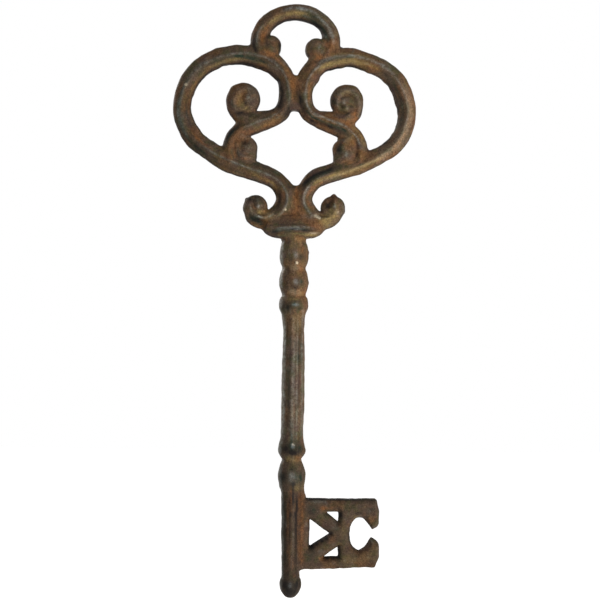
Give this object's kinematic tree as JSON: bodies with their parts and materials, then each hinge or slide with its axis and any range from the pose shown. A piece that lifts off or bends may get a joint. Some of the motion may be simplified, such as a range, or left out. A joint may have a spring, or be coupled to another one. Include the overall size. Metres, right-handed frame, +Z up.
{
  "type": "decorative key",
  "caption": "Flat cast-iron wall key with a heart-shaped bow of scrolls under a hanging loop, a collar, a turned shank with knops and a pierced bit.",
  "frame": {"origin": "the spot inside the top of the hanging loop where a nail or hook carries the key, halfway through its thickness", "axes": "+Z up along the hanging key, +X to the right with the bit on that side, -Y towards the viewer"},
  "size_m": [0.1248, 0.017, 0.3055],
  "materials": {
    "cast_iron": "bare cast iron, brown rust over grey, rough",
    "rusted_iron": "bare cast iron with orange rust in the hollows, rough",
    "dark_iron": "bare cast iron, dark and slightly rubbed on the crests"
  },
  "bodies": {
    "root": {"hanging_loop": "cast_iron", "left_heart_scroll": "cast_iron", "right_heart_scroll": "cast_iron", "left_neck_scroll": "cast_iron", "right_neck_scroll": "cast_iron", "left_inner_scroll": "rusted_iron", "right_inner_scroll": "rusted_iron", "left_inner_volute": "rusted_iron", "right_inner_volute": "rusted_iron", "left_lower_curl": "rusted_iron", "right_lower_curl": "rusted_iron", "lobe_web": "rusted_iron", "neck_web": "rusted_iron", "collar": "cast_iron", "upper_baluster": "dark_iron", "shank": "cast_iron", "lower_baluster": "dark_iron", "bit_stem": "cast_iron", "bit": "cast_iron", "tip_ball": "dark_iron"}
  },
  "joints": []
}
